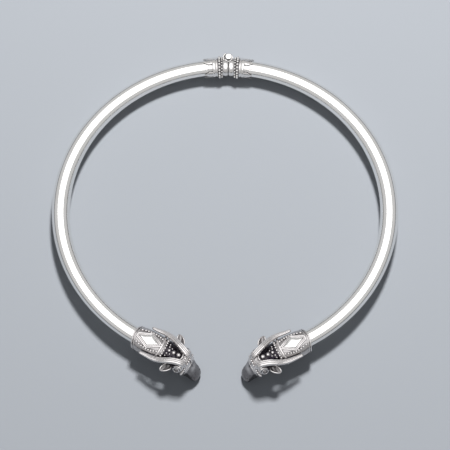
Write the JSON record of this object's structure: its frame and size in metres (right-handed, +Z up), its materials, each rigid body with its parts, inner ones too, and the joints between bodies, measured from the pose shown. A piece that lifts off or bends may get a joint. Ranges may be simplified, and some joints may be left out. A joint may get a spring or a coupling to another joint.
{
  "type": "silver torc",
  "caption": "Rigid oval neck ring of two polished silver tubes, hinged at the back, open at the front between two horned goat heads.",
  "frame": {"origin": "centre of the bounding box's underside, where the ring lies on the beads of its hinge collars and on its two chins", "axes": "+Z up, square to the surface the ring lies on; +Y towards the hinge; +X across the ring's width, to the right with the heads towards the viewer"},
  "size_m": [0.143, 0.1388, 0.0173],
  "materials": {
    "polished_silver": "polished",
    "oxidised_silver": "cast, polished on the high parts and blackened in the recesses",
    "collar_silver": "polished, blackened between the beads and leaves"
  },
  "bodies": {
    "left_half": {"left_tube": "polished_silver", "left_head": "oxidised_silver", "left_hinge_collar": "collar_silver", "hinge_pin": "polished_silver"},
    "right_half": {"right_tube": "polished_silver", "right_head": "oxidised_silver", "right_hinge_collar": "collar_silver"}
  },
  "joints": [
    {"name": "back_hinge", "type": "hinge", "parent": "left_half", "child": "right_half", "pos_m": [0, 0.06733, 0.00445], "axis": [0, 0.0322, 0.9995], "range_deg": [0, 45]}
  ]
}
